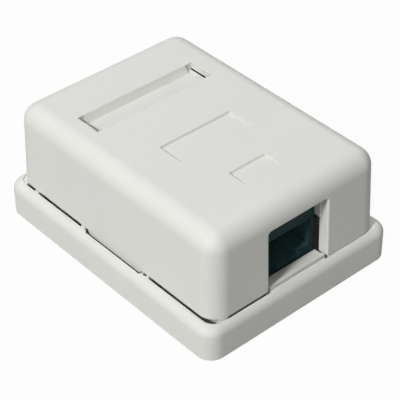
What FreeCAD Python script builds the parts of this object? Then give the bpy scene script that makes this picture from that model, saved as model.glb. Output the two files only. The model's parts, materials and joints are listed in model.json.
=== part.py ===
"""Single-port surface mount jack box, in millimetres.

A flanged base screws to the wall and holds an eight-way snap-in jack that faces +X.
A deep cover with a drafted, well rounded shell stands in a channel between the base's
outer wall and its lip, and its end window shows the jack.  The origin is the centre of
the base's underside and +Z is away from the wall.
"""
import FreeCAD, Part

import math
import os

from FreeCAD import Vector

# ---- base: tray with a channel for the cover's wall ----
base_length = 66.0
base_width = 50.4
base_corner = 3.6
flange_top = 7.7            # height of the outer wall
flange_round = 2.0          # rounding of the outer wall's top
floor_thick = 2.0
channel_corner = 2.85       # sharper than the cover's corners, so the gap widens there
side_gap = 0.3              # in plan, from the cover's long sides to the outer wall
end_gap = 0.15
lip_thick = 1.6             # upstanding lip that locates the cover
lip_rise = 3.2
lip_corner = 1.8

# ---- cover: drafted shell ----
ledge_end = 1.6             # base left bare in front of the cover's end walls, at the rim
ledge_side = 2.4
cover_slope = 0.028         # draft of every side, as a tangent
cover_round = 4.0           # the same on the top edge and the upright corners
cover_wall = 2.4
roof_thick = 2.2
inner_round = 1.6
latch_room = 0.9            # between the roof's underside and the jack's latch
rim_gap = 0.3               # from the outer wall's top up to the rim
rib_drop = 0.2              # from the outer wall's top down to the ribs under the end walls
rib_reach = 1.25            # from the outer wall into the channel
rib_root = 0.1              # how far those ribs run into the outer wall
foot_clear = 0.05           # left between the cover's feet and the ribs below them
foot_spans = ((-25.65, -24.35), (-9.65, -8.35), (10.1, 10.5), (11.45, 12.3))   # on X, each side
end_foot = (-20.9, -18.9)   # on Y, at the +X end; the other end is the same turned round
corner_rest = (28.7, 8.6)   # X and Y from which the cover rests all round the next corner
lip_clear = 0.15

# ---- pry tabs in the middle of the long sides ----
tab_centre = 1.2
tab_length = 17.05
tab_shoulder = 0.5          # step beyond the tab's +X end, as high as a foot
tab_drop = 0.75             # how far the tab hangs below the outer wall's top
tab_round = 0.9
tab_clear = 0.35            # between the tab's ends and those of its pry pocket
pocket_reach = 0.75         # from the tab's face out to the pocket's wall
pocket_low = 4.0

# ---- recesses in the roof: each is deepest at its back wall and ramps up towards +X ----
recess_row_y = -0.5
label_back, label_run, label_width, label_depth = -17.9, 6.9, 30.8, 1.75
middle_back, middle_run, middle_width, middle_depth = 0.9, 7.7, 18.8, 0.5
front_back, front_run, front_width, front_depth = 16.4, 5.8, 9.6, 0.45
recess_lean = 0.55          # run of each back wall over its height
label_skin = 1.8            # wall left under the deep recess
slit_length = 6.3
slit_step = 1.6             # width of the level step beside each slit
slit_mouth = 0.3            # height of the slit above the step
slit_inset = 0.1            # how far the slit runs under the step
slit_depth = 1.0            # and how far it runs under the roof

# ---- window and the ribs round it ----
window_side_gap = 0.75      # between the window's sides and the jack
window_top_gap = 0.8
window_corner = 0.7
window_edge = 0.45          # rounding of the window's outer edge
guide_depth = 1.8
guide_thick = 2.0
guide_drop = 4.8            # how far the guide ribs reach down beside the jack's top
guide_gap = 0.4             # between a guide rib and the jack's side
lip_opening = 2.5           # how much wider than the window the lip's opening is, each side
sill_thick = 1.8
sill_bead = 0.5
sill_bead_width = 0.8
sill_setback = 0.25         # sill's outer face behind the cover's outer face
sill_side_gap = 0.4
sill_rib = 1.2
sill_rib_places = (2.4, 6.9)  # from the centre line

# ---- catches between lip and cover ----
catch_spacing = 28.0
catch_length = 6.0
catch_height = 1.0
catch_rise = 1.4            # from the outer wall's top to the catch
catch_proud = 0.1
pocket_clear = 0.3

# ---- knock-out for a surface-run cable, scored inside the rear wall ----
knockout_width = 12.0
knockout_height = 8.0
knockout_groove = 0.8
knockout_skin = 1.0

# ---- base floor ----
screw_hole = 4.2
screw_spacing = 28.0
screw_x = 4.0
entry_width = 12.0          # opening for a cable from the wall
entry_margin = 1.7          # floor left in front of and behind the opening
entry_corner = 2.0
tie_slot_width = 1.6
tie_slot_length = 4.0
tie_slot_spacing = 6.0
tie_setback = 6.5           # from the jack's rear to the middle of the slots

# ---- jack ----
jack_setback = 3.3          # from the cover's end wall, at the rim, to the jack's face
jack_bottom = 5.4
jack_width = 14.5
jack_height = 16.3
jack_block = 16.5           # length of the full-height front block
jack_length = 31.1
jack_edge = 0.4
jack_side_clear = 0.15
port_width = 11.9
port_height = 6.8
port_depth = 14.5
port_roof = 4.8             # material above the port
notch_width = 6.2           # room for the plug's latch
notch_height = 1.7
chamber_width = 11.0
chamber_height = 2.6
chamber_floor = 1.0
chamber_stop = 2.9          # material in front of the chamber
rear_wall = 1.4
latch_width = 6.0
latch_thick = 1.0
latch_rise = 2.6
latch_root = 1.2
latch_reach = 12.0
hook_groove = 1.6           # panel groove under the front block
hook_groove_depth = 1.2
hook_groove_back = 8.6

# ---- board, contacts and carrier ----
board_thick = 1.2
board_drop = 4.8            # from the contacts' upper run to the board's underside
board_shelf = 0.65
board_clear = 0.1
board_hole = 0.8
contact_count = 8
contact_pitch = 1.02
contact_size = 0.4
contact_bend = 0.65
contact_angle = 21.0        # slope of the free arms, in degrees
contact_reach = 3.8         # from the jack's face to the front bend's centre
contact_tip = 13.1          # from the jack's face to the arm's tip
tail_rows = (2.3, 0.9)      # from the carrier's rear end to the two rows of tails
tail_length = 0.4           # below the board
carrier_clear = 0.1
carrier_back = 20.0         # from the jack's face to the carrier's rear end
groove_width = 0.56
comb_wall = 0.7
comb_length = 1.6
comb_drop = 4.7

# ---- wire terminals ----
block_length = 10.3
block_width = 3.4
block_height = 6.6
block_y = 4.4
block_gap = 0.3             # between a block and the carrier
slot_count = 4
slot_pitch = 2.5
slot_width = 0.9
slot_depth = 4.8
blade_width = 1.7
blade_thick = 0.45
blade_height = 5.0
blade_fork = 0.25
blade_throat = 3.0
blade_pin = 0.5
blade_clear = 0.08
cap_wall = 0.6
cap_roof = 1.3
cap_skirt = 3.7
cap_clear = 0.1
cap_rib = 0.7
cap_rib_drop = 1.4
cap_notch = 2.0

# ---- cradle ----
rail_thick = 1.6
rail_height = 7.0
rail_front = 2.0            # from the jack's face to the rails' front end
rail_length = 14.0
rest_rib = 1.4
rest_rib_spacing = 5.0
stop_thick = 1.6
stop_height = 5.0
stop_width = 10.0
hold_rib = 1.2
hold_rib_length = 8.0
hold_rib_spacing = 9.6
hold_clear = 0.2

# ---- worked out from the sizes above ----
reach = 5.0                 # how far cutting tools run past a face
overlap = 0.4               # how far an added rib runs into its wall
cover_length = base_length - 2 * ledge_end
cover_width = base_width - 2 * ledge_side
rim_height = flange_top + rim_gap
lip_top = flange_top + lip_rise
channel_length = cover_length + 2 * end_gap
channel_width = cover_width + 2 * side_gap
tab_low = flange_top - tab_drop
jack_top = jack_bottom + jack_height
jack_front = cover_length / 2 - jack_setback
ceiling = jack_top + latch_rise + latch_room
cover_top = ceiling + roof_thick
window_width = jack_width + 2 * window_side_gap
window_top = jack_top + window_top_gap
guide_low = jack_top - guide_drop
jack_rear = jack_front - jack_length
block_rear = jack_front - jack_block
port_ceiling = jack_top - port_roof
chamber_low = port_ceiling + chamber_floor
chamber_high = chamber_low + chamber_height
contact_z = chamber_low + carrier_clear + contact_size / 2
board_low = contact_z - board_drop
board_top = board_low + board_thick
rail_end = jack_front - rail_front


def box(x0, x1, y0, y1, z0, z1):
    """Return the block between two corners."""
    return Part.makeBox(x1 - x0, y1 - y0, z1 - z0, Vector(x0, y0, z0))


def centred(x0, x1, width, z0, z1):
    """Return a block that is centred on the XZ plane."""
    return box(x0, x1, -width / 2, width / 2, z0, z1)


def mirrored(shape):
    """Return a shape together with its image on the other side of the XZ plane."""
    return shape.fuse(shape.mirror(Vector(0, 0, 0), Vector(0, 1, 0)))


def rounded(shape, radius, chosen):
    """Fillet the edges that the test picks."""
    return shape.makeFillet(radius, [edge for edge in shape.Edges if chosen(edge)])


def rises(edge, least):
    """Tell whether an edge climbs by at least the given height."""
    heights = [vertex.Z for vertex in edge.Vertexes]
    return len(heights) == 2 and max(heights) - min(heights) > least


def at_height(edge, height):
    """Tell whether an edge lies in the level plane at a height."""
    return all(abs(vertex.Z - height) < 1e-6 for vertex in edge.Vertexes)


def along(edge, direction):
    """Tell whether a straight edge runs in the given direction."""
    run = edge.Vertexes[-1].Point - edge.Vertexes[0].Point
    return run.Length > 1e-6 and run.cross(direction).Length < 1e-6 * run.Length


def plan_block(length, width, corner, z0, z1):
    """Return a centred block with rounded upright corners."""
    block = box(-length / 2, length / 2, -width / 2, width / 2, z0, z1)
    return rounded(block, corner, lambda edge: rises(edge, 0.5 * (z1 - z0)))


def side_profile(points, y0, y1):
    """Extrude an outline drawn in the XZ plane from y0 to y1."""
    corners = [Vector(x, y0, z) for x, z in points]
    outline = Part.makePolygon(corners + corners[:1])
    return Part.Face(outline).extrude(Vector(0, y1 - y0, 0))


def inset(z):
    """Return how far the drafted sides lean in at a height, from the rim."""
    return cover_slope * (z - rim_height)


def drafted_block(length, width, z0, z1, radius):
    """Return a block whose sides lean in, with its top edge and corners rounded alike."""
    low_x, low_y = length / 2 - inset(z0), width / 2 - inset(z0)
    high_x, high_y = length / 2 - inset(z1), width / 2 - inset(z1)
    block = Part.makeWedge(-low_x, z0, -low_y, -high_y, -high_x,
                           low_x, z1, low_y, high_y, high_x)
    block.rotate(Vector(0, 0, 0), Vector(1, 0, 0), 90)
    return rounded(block, radius,
                   lambda edge: at_height(edge, z1) or rises(edge, 0.5 * (z1 - z0)))


def cavity_half_length(z):
    """Return the distance from the centre to the cover's end wall, inside."""
    return cover_length / 2 - cover_wall - inset(z)


def cavity_half_width(z):
    """Return the distance from the centre to the cover's side wall, inside."""
    return cover_width / 2 - cover_wall - inset(z)


lip_length = 2 * (cavity_half_length(lip_top) - lip_clear)
lip_width = 2 * (cavity_half_width(lip_top) - lip_clear)
lip_inside_length = lip_length - 2 * lip_thick
lip_inside_width = lip_width - 2 * lip_thick
catch_low = flange_top + catch_rise


# ---------------------------------------------------------------- cover
def roof_recess(back, run, width, depth):
    """Return the tool for a recess: a leaning back wall and a floor that ramps up to the roof."""
    floor = [(back, cover_top), (back + recess_lean * depth, cover_top - depth),
             (back + run, cover_top), (back + run, cover_top + reach),
             (back, cover_top + reach)]
    return side_profile(floor, recess_row_y - width / 2, recess_row_y + width / 2)


def label_pad():
    """Return the thickening that backs the deep recess inside the roof."""
    low = cover_top - label_depth - label_skin
    back = label_back - label_skin
    section = [(back, ceiling + overlap), (back, low), (label_back + label_skin, low),
               (label_back + label_run + label_skin, ceiling + overlap)]
    half = label_width / 2 + label_skin
    return side_profile(section, recess_row_y - half, recess_row_y + half)


def label_slits():
    """Return the level steps at the deep recess's ends and the slits under its side walls."""
    tools = []
    end = label_back + slit_length
    low = cover_top - label_depth
    for side in (-1, 1):
        edge = recess_row_y + side * label_width / 2
        y0, y1 = sorted((edge, edge - side * slit_step))
        tools.append(box(label_back, end, y0, y1, low, cover_top))
        y0, y1 = sorted((edge - side * slit_inset, edge + side * slit_depth))
        tools.append(box(label_back, end, y0, y1, ceiling - reach, low + slit_mouth))
    return tools


def side_rests(low, high):
    """Return blocks, between two heights, over the feet of the long sides."""
    half_width = cover_width / 2 + reach
    return [box(x0, x1, -half_width, half_width, low, high) for x0, x1 in foot_spans]


def end_rests(low, high):
    """Return blocks, between two heights, over the places where the end walls stand."""
    half_length = cover_length / 2 + reach
    half_width = cover_width / 2 + reach
    corner_x, corner_y = corner_rest
    blocks = []
    for y0, y1 in (end_foot, (corner_y, half_width)):
        blocks.append(box(corner_x, half_length, y0, y1, low, high))
        blocks.append(box(-half_length, -corner_x, -y1, -y0, low, high))
    return blocks


def rim_tools():
    """Return what is trimmed off below the rim, with the feet and tabs left standing."""
    half_length = cover_length / 2 + reach
    half_width = cover_width / 2 + reach
    band = box(-half_length, half_length, -half_width, half_width,
               tab_low - reach, rim_height)
    foot_low = flange_top + foot_clear
    tab_end = tab_centre + tab_length / 2
    tab = box(tab_end - tab_length, tab_end, -half_width, half_width, tab_low,
              rim_height + reach)
    tab = rounded(tab, tab_round, lambda edge: at_height(edge, tab_low)
                  and along(edge, Vector(0, 1, 0)))
    shoulder = box(tab_end - overlap, tab_end + tab_shoulder, -half_width, half_width,
                   foot_low, rim_height)
    return band.cut(side_rests(foot_low, rim_height)
                    + end_rests(foot_low - rib_drop, rim_height) + [tab, shoulder])


def window_tool():
    """Return the tool for the window, open at the rim, with rounded upper corners."""
    tool = centred(cover_length / 2 - cover_wall - 2 * guide_depth, cover_length / 2 + reach,
                   window_width, tab_low - reach, window_top)
    return rounded(tool, window_corner, lambda edge: at_height(edge, window_top)
                   and along(edge, Vector(1, 0, 0)))


def on_window_edge(edge):
    """Tell whether an edge lies where the window breaks through the cover's outer face."""
    centre = edge.CenterOfMass
    outer_x = cover_length / 2 - inset(centre.z)
    return (abs(centre.x - outer_x) < window_edge / 4 and rim_height < centre.z
            and centre.z < window_top + window_corner
            and abs(centre.y) < window_width / 2 + window_corner)


def catch_blocks(half_width, proud, clear):
    """Return four blocks on the long sides, for the catches or their pockets."""
    blocks = []
    for x in (-catch_spacing / 2, catch_spacing / 2):
        half = catch_length / 2 + clear
        blocks.append(box(x - half, x + half, half_width - overlap, half_width + proud,
                          catch_low - clear, catch_low + catch_height + clear))
    pair = blocks[0].fuse(blocks[1])
    return mirrored(pair)


def knockout_score():
    """Return the groove that outlines the knock-out on the rear wall's inner face."""
    outer_x = -(cavity_half_length(rim_height) + cover_wall - knockout_skin)
    inner_x = -(cavity_half_length(rim_height) - reach)
    top = rim_height + knockout_height
    outline = centred(outer_x, inner_x, knockout_width, tab_low, top)
    core = centred(outer_x - reach, inner_x + reach, knockout_width - 2 * knockout_groove,
                   tab_low - reach, top - knockout_groove)
    return outline.cut(core)


def make_cover():
    """Build the cover: drafted shell, roof recesses, window, ribs, feet and tabs."""
    outside = drafted_block(cover_length, cover_width, tab_low, cover_top, cover_round)
    cavity = drafted_block(cover_length - 2 * cover_wall, cover_width - 2 * cover_wall,
                           tab_low - reach, ceiling, inner_round)
    shell = outside.cut(cavity)

    guide_y = jack_width / 2 + guide_gap
    guide = box(cavity_half_length(guide_low) - guide_depth,
                cavity_half_length(guide_low) + overlap,
                guide_y, guide_y + guide_thick, guide_low, ceiling + overlap)
    hold_y = hold_rib_spacing / 2
    hold = box(rail_end - hold_rib_length, rail_end, hold_y - hold_rib / 2,
               hold_y + hold_rib / 2, jack_top + hold_clear, ceiling + overlap)
    shell = shell.fuse([mirrored(guide), mirrored(hold), label_pad()])

    window = window_tool().cut(mirrored(guide))
    cuts = [rim_tools(), window, knockout_score(),
            roof_recess(label_back, label_run, label_width, label_depth),
            roof_recess(middle_back, middle_run, middle_width, middle_depth),
            roof_recess(front_back, front_run, front_width, front_depth)]
    cuts += label_slits()
    cuts.append(catch_blocks(cavity_half_width(catch_low), catch_proud + pocket_clear,
                             pocket_clear))
    cover = shell.cut(cuts).removeSplitter()
    return rounded(cover, window_edge, on_window_edge)


# ---------------------------------------------------------------- base
def pry_pocket():
    """Return the tool that widens the channel in front of a tab, so a blade can lift it."""
    half = tab_length / 2 + tab_clear
    outer_y = cover_width / 2 + pocket_reach
    pocket = box(tab_centre - half, tab_centre + half, channel_width / 2 - reach / 2, outer_y,
                 pocket_low, flange_top + reach)
    pocket = rounded(pocket, pocket_reach - side_gap, lambda edge: along(edge, Vector(0, 0, 1))
                     and edge.Vertexes[0].Y > channel_width / 2)
    return mirrored(pocket)


def floor_holes():
    """Return the tools for screws, cable entry and cable tie."""
    tools = []
    for y in (-screw_spacing / 2, screw_spacing / 2):
        tools.append(Part.makeCylinder(screw_hole / 2, floor_thick + 2 * reach,
                                       Vector(screw_x, y, -reach)))
    tie_slot_x = jack_rear - tie_setback
    entry_front = tie_slot_x - tie_slot_length / 2 - entry_margin
    entry_back = entry_margin - lip_inside_length / 2
    entry = plan_block(entry_front - entry_back, entry_width, entry_corner, -reach,
                       floor_thick + reach)
    entry.translate(Vector((entry_front + entry_back) / 2, 0, 0))
    tools.append(entry)
    for y in (-tie_slot_spacing / 2, tie_slot_spacing / 2):
        tools.append(box(tie_slot_x - tie_slot_length / 2, tie_slot_x + tie_slot_length / 2,
                         y - tie_slot_width / 2, y + tie_slot_width / 2,
                         -reach, floor_thick + reach))
    return tools


def cradle():
    """Return the walls and ribs that carry the jack."""
    rail_y = jack_width / 2 + jack_side_clear
    rail = box(rail_end - rail_length, rail_end, rail_y, rail_y + rail_thick,
               floor_thick - overlap, floor_thick + rail_height)
    walls = [mirrored(rail)]
    for y in (-rest_rib_spacing, 0.0, rest_rib_spacing):
        walls.append(box(jack_rear, rail_end, y - rest_rib / 2, y + rest_rib / 2,
                         floor_thick - overlap, jack_bottom))
    stop_x = jack_rear - jack_side_clear
    walls.append(centred(stop_x - stop_thick, stop_x, stop_width, floor_thick - overlap,
                         jack_bottom + stop_height))
    return walls


def window_sill():
    """Return the sill that closes the window's foot: a ribbed shelf with an outer bead."""
    inner_x = jack_front + jack_side_clear
    outer_x = cover_length / 2 - sill_setback
    width = window_width - 2 * sill_side_gap
    pieces = [centred(inner_x, outer_x, width, rim_height - sill_thick, rim_height),
              centred(outer_x - sill_bead_width, channel_length / 2 + rib_root, width,
                      floor_thick - overlap, flange_top - rib_drop),
              centred(outer_x - sill_bead_width, outer_x, width, rim_height - overlap,
                      rim_height + sill_bead)]
    for y in sill_rib_places:
        rib = box(lip_length / 2 - overlap, outer_x, y - sill_rib / 2, y + sill_rib / 2,
                  floor_thick - overlap, rim_height - sill_thick + overlap)
        pieces.append(mirrored(rib))
    return pieces


def channel_ribs():
    """Return the ribs inside the outer wall that the cover's feet stand on."""
    low = floor_thick - overlap
    outer = plan_block(channel_length + 2 * rib_root, channel_width + 2 * rib_root,
                       channel_corner + rib_root, low, flange_top)
    inner = plan_block(channel_length - 2 * rib_reach, channel_width - 2 * rib_reach,
                       channel_corner - rib_reach, low, flange_top)
    ring = outer.cut(inner)
    blocks = side_rests(low, flange_top) + end_rests(low, flange_top - rib_drop)
    return [ring.common(block) for block in blocks]


def make_base():
    """Build the base: outer wall, channel, lip, floor, cradle, sill and ribs."""
    block = plan_block(base_length, base_width, base_corner, 0, flange_top)
    block = rounded(block, flange_round, lambda edge: at_height(edge, flange_top))
    channel = plan_block(channel_length, channel_width, channel_corner, floor_thick,
                         flange_top + reach)
    lip = plan_block(lip_length, lip_width, lip_corner, floor_thick - overlap, lip_top)
    inside = plan_block(lip_inside_length, lip_inside_width, lip_corner / 2,
                        floor_thick - overlap, lip_top)
    opening = centred(lip_inside_length / 2 - overlap, lip_length / 2 + overlap,
                      window_width + 2 * lip_opening, jack_bottom, lip_top + reach)
    ring = lip.cut([inside, opening])
    block = block.cut([channel, pry_pocket()])
    base = block.fuse([ring, catch_blocks(lip_width / 2, catch_proud, 0.0)] + window_sill()
                      + channel_ribs() + cradle())
    return base.cut(floor_holes()).removeSplitter()


# ---------------------------------------------------------------- jack
def make_jack_housing():
    """Build the jack's housing: port, contact chamber, rear tray, groove and latch."""
    block = centred(block_rear, jack_front, jack_width, jack_bottom, jack_top)
    block = rounded(block, jack_edge, lambda edge: all(
        abs(vertex.X - jack_front) < 1e-6 for vertex in edge.Vertexes))
    tray = centred(jack_rear, block_rear + overlap, jack_width, jack_bottom, board_top)

    tip = block_rear + latch_root + latch_reach
    latch_low = jack_top + latch_rise - latch_thick
    latch = side_profile([(block_rear + latch_root, jack_top - overlap),
                          (block_rear + latch_root, jack_top + latch_thick),
                          (tip - 2 * latch_thick, jack_top + latch_rise),
                          (tip, jack_top + latch_rise), (tip, latch_low),
                          (tip - latch_thick, latch_low - latch_thick / 2),
                          (block_rear + latch_root + 2 * latch_thick, jack_top - overlap)],
                         -latch_width / 2, latch_width / 2)
    housing = block.fuse([tray, latch])

    port_floor = port_ceiling - port_height
    port_back = jack_front - port_depth
    slot_half = contact_count * contact_pitch / 2 + groove_width / 2
    groove_x = jack_front - hook_groove_back
    cuts = [
        centred(port_back, jack_front + reach, port_width, port_floor, port_ceiling),
        centred(port_back, jack_front + reach, notch_width, port_floor - notch_height,
                port_floor),
        centred(port_back, jack_front - chamber_stop, 2 * slot_half, port_ceiling - overlap,
                chamber_low),
        centred(block_rear - reach, jack_front - chamber_stop, chamber_width, chamber_low,
                chamber_high),
        centred(jack_rear + rear_wall, block_rear, jack_width - 2 * rear_wall,
                jack_bottom + rear_wall, board_top),
        centred(jack_rear + board_shelf, block_rear, jack_width - 2 * board_shelf,
                board_low, board_top + reach),
        centred(groove_x - hook_groove, groove_x, jack_width + reach, jack_bottom - reach,
                jack_bottom + hook_groove_depth),
    ]
    return housing.cut(cuts).removeSplitter()


def contact_y(index):
    """Return the place of a contact across the port."""
    return (index - (contact_count - 1) / 2) * contact_pitch


def tail_place(index):
    """Return where a contact's tail goes down through the board, along the box."""
    return jack_front - carrier_back + tail_rows[index % 2]


def make_contact_carrier():
    """Build the carrier: a grooved slab with a comb that guides the arms' tips."""
    low = chamber_low + carrier_clear
    front = jack_front - chamber_stop - carrier_clear
    back = jack_front - carrier_back
    slab = centred(back, front, chamber_width - 2 * carrier_clear, low,
                   chamber_high - carrier_clear)
    slot_half = contact_count * contact_pitch / 2 + groove_width / 2 - carrier_clear
    comb_back = jack_front - port_depth + carrier_clear
    comb_low = low - comb_drop
    comb = centred(comb_back, comb_back + comb_wall + comb_length, 2 * slot_half,
                   comb_low, low + overlap)
    grooves = []
    for index in range(contact_count):
        y0 = contact_y(index) - groove_width / 2
        y1 = contact_y(index) + groove_width / 2
        grooves.append(box(back - reach, front + reach, y0, y1, low - overlap,
                           contact_z + contact_size / 2 + carrier_clear))
        grooves.append(box(comb_back + comb_wall, front + reach, y0, y1, comb_low - reach,
                           low + overlap / 2))
    return slab.fuse(comb).cut(grooves).removeSplitter()


def make_contact(index):
    """Build one spring contact: tail, run through the carrier, front bend, free arm."""
    tail_x = tail_place(index)
    centre_x = jack_front - contact_reach
    centre_z = contact_z - contact_bend
    slope = math.radians(contact_angle)
    leave = Vector(centre_x + contact_bend * math.sin(slope), 0,
                   centre_z - contact_bend * math.cos(slope))
    arm = (leave.x - (jack_front - contact_tip)) / math.cos(slope)
    tip = leave + Vector(-math.cos(slope), 0, -math.sin(slope)) * arm

    foot = Vector(tail_x, 0, board_low - tail_length)
    rise = Vector(tail_x, 0, contact_z - contact_bend)
    turn = math.sqrt(0.5) * contact_bend
    first_bend = Part.Arc(rise, Vector(tail_x + contact_bend - turn, 0,
                                       contact_z - contact_bend + turn),
                          Vector(tail_x + contact_bend, 0, contact_z))
    crest = Vector(centre_x, 0, contact_z)
    front_bend = Part.Arc(crest, Vector(centre_x + contact_bend * math.cos(slope / 2), 0,
                                        centre_z + contact_bend * math.sin(slope / 2)), leave)
    path = Part.Wire([Part.LineSegment(foot, rise).toShape(), first_bend.toShape(),
                      Part.LineSegment(Vector(tail_x + contact_bend, 0, contact_z),
                                       crest).toShape(),
                      front_bend.toShape(), Part.LineSegment(leave, tip).toShape()])
    half = contact_size / 2
    section = Part.makePolygon([foot + Vector(-half, -half, 0), foot + Vector(half, -half, 0),
                                foot + Vector(half, half, 0), foot + Vector(-half, half, 0),
                                foot + Vector(-half, -half, 0)])
    contact = path.makePipeShell([section], True, False)
    contact.translate(Vector(0, contact_y(index), 0))
    return contact


block_front = jack_front - carrier_back - block_gap


def slot_x(index):
    """Return the place of a terminal slot along its block."""
    middle = block_front - block_length / 2
    return middle + (index - (slot_count - 1) / 2) * slot_pitch


def make_circuit_board():
    """Build the board, with a hole for each tail and each blade."""
    board = centred(jack_rear + board_shelf + board_clear, block_rear - board_clear,
                    jack_width - 2 * (board_shelf + board_clear), board_low, board_top)
    places = []
    for index in range(contact_count):
        places.append((tail_place(index), contact_y(index)))
    for index in range(slot_count):
        places.append((slot_x(index), -block_y))
        places.append((slot_x(index), block_y))
    holes = [Part.makeCylinder(board_hole / 2, board_thick + 2 * reach,
                               Vector(x, y, board_low - reach)) for x, y in places]
    return board.cut(holes)


def make_terminal_block(side):
    """Build one row of terminals: a wall of teeth with pockets for the blades."""
    y = side * block_y
    top = board_top + block_height
    block = box(block_front - block_length, block_front, y - block_width / 2,
                y + block_width / 2, board_top, top)
    cuts = []
    for index in range(slot_count):
        x = slot_x(index)
        cuts.append(box(x - slot_width / 2, x + slot_width / 2, y - block_width,
                        y + block_width, top - slot_depth, top + reach))
        pocket = blade_width / 2 + blade_clear
        half = blade_thick / 2 + blade_clear
        cuts.append(box(x - pocket, x + pocket, y - half, y + half, board_top - reach,
                        board_top + blade_height + blade_clear))
    return block.cut(cuts).removeSplitter()


def make_blade(index, side):
    """Build one forked blade that cuts into a wire and reaches through the board."""
    x = slot_x(index)
    y = side * block_y
    top = board_top + blade_height
    y0, y1 = y - blade_thick / 2, y + blade_thick / 2
    plate = box(x - blade_width / 2, x + blade_width / 2, y0, y1, board_top, top)
    pin = box(x - blade_pin / 2, x + blade_pin / 2, y0, y1, board_low - tail_length,
              board_top + overlap)
    throat = side_profile([(x - blade_fork / 2, top - blade_throat),
                           (x + blade_fork / 2, top - blade_throat),
                           (x + blade_fork / 2, top - 2 * blade_fork),
                           (x + blade_width / 4, top + overlap),
                           (x - blade_width / 4, top + overlap),
                           (x - blade_fork / 2, top - 2 * blade_fork)], y0 - reach, y1 + reach)
    return plate.fuse(pin).cut(throat).removeSplitter()


def make_wire_cap(side):
    """Build one cap: a shell over a terminal block, with ribs that push wires home."""
    y = side * block_y
    top = board_top + block_height + cap_clear
    half = block_width / 2 + cap_clear
    back = block_front - block_length - cap_clear
    front = block_front + block_gap / 2
    outside = box(back - cap_wall, front, y - half - cap_wall, y + half + cap_wall,
                  top - cap_skirt, top + cap_roof)
    hollow = box(back, block_front + cap_clear, y - half, y + half, top - cap_skirt - reach, top)
    cap = outside.cut(hollow)
    ribs = []
    notches = []
    for index in range(slot_count):
        x = slot_x(index)
        ribs.append(box(x - cap_rib / 2, x + cap_rib / 2, y - half - overlap,
                        y + half + overlap, top - cap_rib_drop, top + overlap))
        notches.append(box(x - slot_width / 2, x + slot_width / 2, y - half - cap_wall - reach,
                           y + half + cap_wall + reach, top - cap_skirt - reach,
                           top - cap_skirt + cap_notch))
    return cap.fuse(ribs).cut(notches).removeSplitter()


# ---------------------------------------------------------------- all the pieces
def all_pieces():
    """Return every piece of the box by name."""
    pieces = {
        "base": make_base(),
        "cover": make_cover(),
        "jack_housing": make_jack_housing(),
        "contact_carrier": make_contact_carrier(),
        "circuit_board": make_circuit_board(),
    }
    for index in range(contact_count):
        pieces[f"contact_{index + 1}"] = make_contact(index)
    for name, side in (("left", -1), ("right", 1)):
        pieces[f"terminal_block_{name}"] = make_terminal_block(side)
        pieces[f"wire_cap_{name}"] = make_wire_cap(side)
        for index in range(slot_count):
            pieces[f"blade_{name}_{index + 1}"] = make_blade(index, side)
    return pieces


os.makedirs("parts", exist_ok=True)
for piece_name, piece in all_pieces().items():
    piece.exportStep(f"parts/{piece_name}.step")
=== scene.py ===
"""Looks of the surface mount jack box: finishes, studio light and camera.

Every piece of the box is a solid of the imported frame.  This script gives each one its
moulded, plated or lacquered finish and stands the box on a pale studio floor.
"""

import json
import math

import bpy
from mathutils import Matrix, Vector

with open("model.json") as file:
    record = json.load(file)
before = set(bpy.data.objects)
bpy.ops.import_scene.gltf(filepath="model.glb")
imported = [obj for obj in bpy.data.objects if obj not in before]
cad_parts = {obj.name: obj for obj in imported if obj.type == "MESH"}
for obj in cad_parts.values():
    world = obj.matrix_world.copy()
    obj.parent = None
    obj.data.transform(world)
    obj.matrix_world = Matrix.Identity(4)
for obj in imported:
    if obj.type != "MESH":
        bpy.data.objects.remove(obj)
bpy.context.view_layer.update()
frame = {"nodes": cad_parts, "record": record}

MM = 0.001
WHITE, BLACK = (1, 1, 1, 1), (0, 0, 0, 1)

# Moulded plastic.  Its tint follows clouds and smaller flow marks.  Its roughness follows
# the pits and the flow marks, and each of them changes it by the spread.
CLOUD_SIZE, FLOW_SIZE = 16 * MM, 3 * MM
CLOUD_WEIGHT, FLOW_WEIGHT, TINT_SHIFT = 1.3, 0.5, 0.4
PLASTIC_SPREAD = 0.10
PLASTIC_IOR = 1.53
ROUNDING_SAMPLES = 8

# Sheet metal, drawn along X.
DRAWN_STRETCH = (0.12, 1.0, 1.0)
DRAWN_LINES_PER_METRE = 9000.0
DRAWN_DEPTH = 0.004 * MM
METAL_SPREAD = 0.2

# Circuit board.  The width and the wander of a track are shares of the pitch, and the
# offset of whole pitches keeps the count of tracks above 0.
TRACK_PITCH, TRACK_HEIGHT = 1.02 * MM, 0.03 * MM
TRACK_HALF_WIDTH, TRACK_SHARPNESS = 0.24, 14.0
WANDER_LENGTH, WANDER_REACH = 5 * MM, 0.9
PITCH_OFFSET = 20.0
FLECK_SIZE = 0.3 * MM
TRACK_TINT, FLECK_TINT = 0.75, 0.15
LACQUER_ROUGHNESS, LACQUER_SPREAD = 0.24, 0.12

# Studio, in metres.  The floor lies a hair under the box and, where it is seen, most of
# it is plain white.
FLOOR_HALF, FLOOR_HEIGHT = 3.0, -0.00002
PAPER_CLOUDS_PER_METRE = 40.0
FLOOR_WHITE_SHARE = 0.97
LAMP_DISTANCE = 1.4
NEAREST_SEEN = 0.01
SENSOR_WIDTH_IN_MM = 36.0


# ---- node maths ----
class Value:
    """A node's output that takes part in arithmetic; each operator adds one Math node."""

    def __init__(self, finish, socket):
        self.finish = finish
        self.socket = socket

    def __add__(self, other):
        return self.finish.maths("ADD", self, other)

    def __sub__(self, other):
        return self.finish.maths("SUBTRACT", self, other)

    def __rsub__(self, other):
        return self.finish.maths("SUBTRACT", other, self)

    def __mul__(self, other):
        return self.finish.maths("MULTIPLY", self, other)

    def __truediv__(self, other):
        return self.finish.maths("DIVIDE", self, other)

    def __rtruediv__(self, other):
        return self.finish.maths("DIVIDE", other, self)

    __radd__ = __add__
    __rmul__ = __mul__


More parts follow.
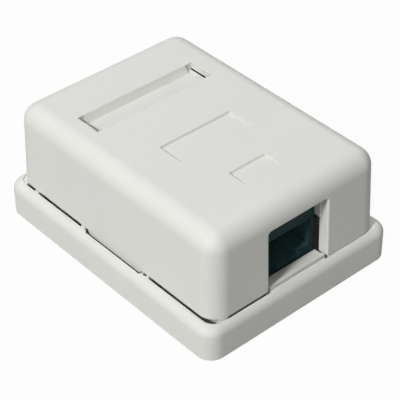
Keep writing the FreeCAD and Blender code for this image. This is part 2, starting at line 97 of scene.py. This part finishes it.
class Made:
    """A node that has been made; indexing it gives one of its outputs."""

    def __init__(self, finish, node):
        self.finish = finish
        self.node = node

    def __getitem__(self, key):
        return Value(self.finish, self.node.outputs[key])


class Finish:
    """The nodes of a material or of the room, built one by one."""

    def __init__(self, holder):
        self.holder = holder
        holder.use_nodes = True
        self.tree = holder.node_tree
        self.tree.nodes.clear()

    def node(self, kind, settings=None, sockets=None):
        """Add a node: its settings come first, then the values or links of its sockets."""
        node = self.tree.nodes.new(kind)
        for name, setting in (settings or {}).items():
            setattr(node, name, setting)
        for key, value in (sockets or {}).items():
            if isinstance(value, Value):
                self.tree.links.new(value.socket, node.inputs[key])
            else:
                node.inputs[key].default_value = value
        return Made(self, node)

    def maths(self, operation, first, second=0.0, clamp=False):
        """Combine two numbers with one Math node."""
        made = self.node("ShaderNodeMath", {"operation": operation, "use_clamp": clamp},
                         {0: first, 1: second})
        return made["Value"]

    def clamped(self, value):
        """Keep a number between 0 and 1."""
        return self.maths("ADD", value, 0.0, clamp=True)

    def place(self):
        """Return the point on the piece, in metres."""
        return self.node("ShaderNodeTexCoord")["Object"]

    def noise(self, scale, detail=2.0, roughness=0.5):
        """Return fractal noise whose features are about 1 / scale metres wide."""
        made = self.node("ShaderNodeTexNoise", {},
                         {"Vector": self.place(), "Scale": scale, "Detail": detail,
                          "Roughness": roughness})
        return made["Fac"]

    def tint(self, factor, low, high):
        """Mix two colours by a factor."""
        low, high = (colour if isinstance(colour, Value) else (*colour, 1.0)
                     for colour in (low, high))
        return self.node("ShaderNodeMix", {"data_type": "RGBA"},
                         {0: factor, 6: low, 7: high})[2]

    def within(self, low, high, fade):
        """Return 1 deep inside a box of two corners and 0 outside it.

        Along each axis the share is the depth below the nearer wall divided by the fade,
        kept between 0 and 1, and the three shares are multiplied.
        """
        axes = self.node("ShaderNodeSeparateXYZ", {}, {"Vector": self.place()})
        share = 1.0
        for name, least, most in zip("XYZ", low, high):
            middle, reach = (least + most) / 2, (most - least) / 2
            away = self.maths("ABSOLUTE", axes[name] - middle)
            share = self.clamped((reach - away) / fade) * share
        return share

    def eased(self, radius):
        """Return a normal that rounds sharp edges by a radius in metres."""
        return self.node("ShaderNodeBevel", {"samples": ROUNDING_SAMPLES},
                         {"Radius": radius})["Normal"]

    def bump(self, height, depth, normal=None):
        """Turn a height from 0 to 1 into a normal; depth is the height of 1 in metres."""
        sockets = {"Height": height, "Distance": depth}
        if normal is not None:
            sockets["Normal"] = normal
        return self.node("ShaderNodeBump", {}, sockets)["Normal"]

    def seen(self):
        """Return 1 for rays of sight, mirrored and clear rays, and 0 for lighting rays."""
        rays = self.node("ShaderNodeLightPath")
        return self.clamped(rays["Is Camera Ray"] + rays["Is Glossy Ray"]
                            + rays["Is Transmission Ray"])

    def surface(self, shader, output="ShaderNodeOutputMaterial"):
        """Make a shader the surface of what holds the nodes."""
        self.node(output, {}, {"Surface": shader})
        return self.holder


def new_finish(name):
    """Start a material."""
    return Finish(bpy.data.materials.new(name))


def linear(*levels):
    """Turn display levels from 0 to 255 into linear colour, by the usual display curve."""
    shares = [level / 255 for level in levels]
    return tuple(share / 12.92 if share <= 0.04045 else ((share + 0.055) / 1.055) ** 2.4
                 for share in shares)


# ---- finishes ----
def moulded_plastic(name, low, high, roughness, grain, ease, gloss, painted_light_and_shade=()):
    """Make injection-moulded plastic: a cloudy tint, spark-eroded grain and uneven gloss.

    Grain is the size and the depth of the pits in metres, ease the radius of sharp edges.
    Each painted patch of light or shade gives a box's corners, its fade and its tint.
    """
    grain_size, grain_depth = grain
    spread = PLASTIC_SPREAD
    finish = new_finish(name)
    cloud = finish.noise(1 / CLOUD_SIZE, detail=3.0)
    flow = finish.noise(1 / FLOW_SIZE, detail=2.0)
    pits = finish.noise(1 / grain_size, detail=2.0, roughness=0.6)
    clouded = finish.clamped(cloud * CLOUD_WEIGHT + flow * FLOW_WEIGHT - TINT_SHIFT)
    colour = finish.tint(clouded, low, high)
    # Paint light or shade into each patch: a tint inside its box.
    for corner, opposite, fade, painted_tint in painted_light_and_shade:
        colour = finish.tint(finish.within(corner, opposite, fade), colour, painted_tint)
    shader = finish.node("ShaderNodeBsdfPrincipled", {}, {
        "Base Color": colour,
        "Roughness": pits * spread + flow * spread + (roughness - spread),
        "Normal": finish.bump(pits, grain_depth, finish.eased(ease)),
        "IOR": PLASTIC_IOR,
        "Specular IOR Level": gloss,
    })
    return finish.surface(shader["BSDF"])


def plated_metal(name, low, high, roughness):
    """Make thin plated sheet metal with fine drawing lines along X."""
    spread = METAL_SPREAD
    finish = new_finish(name)
    stretched = finish.node("ShaderNodeMapping", {},
                            {"Vector": finish.place(), "Scale": DRAWN_STRETCH})["Vector"]
    lines = finish.node("ShaderNodeTexNoise", {},
                        {"Vector": stretched, "Scale": DRAWN_LINES_PER_METRE,
                         "Detail": 2.0})["Fac"]
    shader = finish.node("ShaderNodeBsdfPrincipled", {}, {
        "Base Color": finish.tint(lines, low, high),
        "Metallic": 1.0,
        "Roughness": lines * spread + (roughness - spread / 2),
        "Normal": finish.bump(lines, DRAWN_DEPTH),
    })
    return finish.surface(shader["BSDF"])


def lacquered_board(name, lacquer, over_copper):
    """Make a circuit board: lacquer over raised copper tracks that run along X.

    The place across the board is counted in pitches, with some wander.  A track lies
    where the count's fraction is near 0.5.
    """
    finish = new_finish(name)
    axes = finish.node("ShaderNodeSeparateXYZ", {}, {"Vector": finish.place()})
    across = axes["Y"] / TRACK_PITCH
    wander = finish.noise(1 / WANDER_LENGTH, detail=0.0)
    phase = finish.maths("FRACT", across + wander * WANDER_REACH + PITCH_OFFSET)
    off_track = finish.maths("ABSOLUTE", phase - 0.5)
    track = finish.clamped((TRACK_HALF_WIDTH - off_track) * TRACK_SHARPNESS)
    fleck = finish.noise(1 / FLECK_SIZE, detail=2.0)
    colour = finish.tint(track * TRACK_TINT + fleck * FLECK_TINT, lacquer, over_copper)
    shader = finish.node("ShaderNodeBsdfPrincipled", {}, {
        "Base Color": colour,
        "Roughness": fleck * LACQUER_SPREAD + LACQUER_ROUGHNESS,
        "Normal": finish.bump(track, TRACK_HEIGHT),
    })
    return finish.surface(shader["BSDF"])


def painted_hollow(x_span, y_span, z_span, fade, tint):
    """Describe a hollow's painted light or shade: spans, fade in millimetres, and its tint.
    """
    low, high = (Vector(corner) * MM for corner in zip(x_span, y_span, z_span))
    return low, high, fade * MM, tint


# Painted light and shade in hollows: the two slits of the deep recess get painted shade, a
# dark tint; the port's shaded walls get painted light, a paler tint matching the jack's
# face.
PAINTED_SHADE_SLITS = [painted_hollow((-18.0, -11.5), y_span, (23.0, 25.96), 0.03, linear(26, 26, 25))
         for y_span in ((-16.95, -15.80), (14.80, 15.95))]
PAINTED_LIGHT_PORT = painted_hollow((12.0, 28.1), (-6.15, 6.15), (7.0, 17.1), 0.4, linear(84, 120, 125))

# The shell's two slits get painted shade.
shell_white = moulded_plastic(
    "shell_white", linear(221, 222, 217), linear(227, 227, 222), roughness=0.55,
    grain=(0.20 * MM, 0.004 * MM), ease=0.20 * MM, gloss=0.28, painted_light_and_shade=PAINTED_SHADE_SLITS)
# The jack's port walls get painted light, paler than its face.
jack_black = moulded_plastic(
    "jack_black", linear(26, 52, 55), linear(32, 58, 61), roughness=0.46,
    grain=(0.16 * MM, 0.004 * MM), ease=0.10 * MM, gloss=0.05, painted_light_and_shade=[PAINTED_LIGHT_PORT])
carrier_grey = moulded_plastic(
    "carrier_grey", linear(44, 52, 54), linear(54, 62, 64), roughness=0.45,
    grain=(0.18 * MM, 0.004 * MM), ease=0.05 * MM, gloss=0.35)
cap_smoke = moulded_plastic(
    "cap_smoke", linear(74, 78, 80), linear(86, 90, 92), roughness=0.32,
    grain=(0.25 * MM, 0.002 * MM), ease=0.05 * MM, gloss=0.5)
contact_gold = plated_metal(
    "contact_gold", (0.72, 0.46, 0.16), (0.90, 0.66, 0.30), roughness=0.24)
blade_tin = plated_metal(
    "blade_tin", (0.55, 0.56, 0.57), (0.72, 0.73, 0.73), roughness=0.34)
board_green = lacquered_board("board_green", linear(12, 62, 38), linear(40, 112, 62))

FINISH_OF_SLOT = {
    "white_plastic": shell_white,
    "black_plastic": jack_black,
    "grey_plastic": carrier_grey,
    "cap_plastic": cap_smoke,
    "gold": contact_gold,
    "tinned": blade_tin,
    "board": board_green,
}

for part in frame["record"]["subparts"]:
    mesh = frame["nodes"][part["node"]].data
    mesh.materials.clear()
    mesh.materials.append(FINISH_OF_SLOT[part["material_slot"]])


# ---- studio ----
def add_to_scene(name, data):
    """Put a new object into the scene and return it."""
    thing = bpy.data.objects.new(name, data)
    bpy.context.scene.collection.objects.link(thing)
    return thing


def studio_floor():
    """Lay a pale square floor that looks white itself and still takes a faint shadow."""
    half = FLOOR_HALF
    corners = [(-half, -half, 0), (half, -half, 0), (half, half, 0), (-half, half, 0)]
    mesh = bpy.data.meshes.new("studio_floor")
    mesh.from_pydata(corners, [], [(0, 1, 2, 3)])
    finish = new_finish("studio_floor")
    paper = finish.noise(PAPER_CLOUDS_PER_METRE, detail=3.0)
    matt = finish.node("ShaderNodeBsdfPrincipled", {}, {
        "Base Color": finish.tint(paper, linear(188, 188, 186), linear(192, 192, 190)),
        "Roughness": 1.0,
        "Specular IOR Level": 0.0,
    })
    white = finish.node("ShaderNodeEmission", {}, {"Color": WHITE, "Strength": 1.0})
    blend = finish.node("ShaderNodeMixShader", {},
                        {0: finish.seen() * FLOOR_WHITE_SHARE, 1: matt["BSDF"],
                         2: white["Emission"]})
    mesh.materials.append(finish.surface(blend["Shader"]))
    floor = add_to_scene("studio_floor", mesh)
    floor.location.z = FLOOR_HEIGHT


def studio_room():
    """Show white where a ray of sight, a mirrored or a clear ray meets nothing."""
    room = Finish(bpy.data.worlds.new("studio_room"))
    dark = room.node("ShaderNodeBackground", {}, {"Color": BLACK, "Strength": 0.0})
    white = room.node("ShaderNodeBackground", {}, {"Color": WHITE, "Strength": 1.0})
    blend = room.node("ShaderNodeMixShader", {},
                      {0: room.seen(), 1: dark["Background"], 2: white["Background"]})
    bpy.context.scene.world = room.surface(blend["Shader"], "ShaderNodeOutputWorld")


def direction(azimuth, elevation):
    """Return a direction from its elevation and its azimuth, from -Y towards +X."""
    turn, climb = math.radians(azimuth), math.radians(elevation)
    return Vector((math.sin(turn) * math.cos(climb), -math.cos(turn) * math.cos(climb),
                   math.sin(climb)))


def soft_lamp(name, azimuth, elevation, size, power):
    """Hang a square soft lamp in a direction from the box, aimed at it."""
    place = direction(azimuth, elevation) * LAMP_DISTANCE
    lamp = bpy.data.lights.new(name, "AREA")
    lamp.shape = "SQUARE"
    lamp.size = size
    lamp.energy = power
    holder = add_to_scene(name, lamp)
    holder.location = place
    holder.rotation_euler = (-place).to_track_quat("-Z", "Y").to_euler()


def studio_camera(azimuth, elevation, roll, distance, target, lens):
    """Stand the camera in a direction from its target and roll it, in degrees."""
    turn, lean = math.radians(azimuth), math.radians(roll)
    back = direction(azimuth, elevation)
    flat_right = Vector((math.cos(turn), math.sin(turn), 0))
    flat_up = back.cross(flat_right)
    right = flat_right * math.cos(lean) + flat_up * math.sin(lean)
    up = back.cross(right)
    camera = add_to_scene("camera", bpy.data.cameras.new("camera"))
    camera.data.sensor_width = SENSOR_WIDTH_IN_MM
    camera.data.lens = lens
    camera.data.clip_start = NEAREST_SEEN
    turned = Matrix((right, up, back)).transposed().to_4x4()
    camera.matrix_world = Matrix.Translation(Vector(target) + back * distance) @ turned
    bpy.context.scene.camera = camera


studio_floor()
studio_room()
soft_lamp("key_lamp", azimuth=14, elevation=38, size=0.20, power=13.1)
soft_lamp("roof_lamp", azimuth=0, elevation=88, size=0.80, power=6.7)
soft_lamp("back_lamp", azimuth=-120, elevation=45, size=0.80, power=4.0)
soft_lamp("fill_lamp", azimuth=45, elevation=39, size=0.25, power=1.0)
studio_camera(azimuth=49.12, elevation=38.63, roll=-0.69, distance=0.22673,
              target=(0.05456, -0.04578, 0.06489), lens=135.32)

bpy.context.scene.view_settings.view_transform = "Standard"
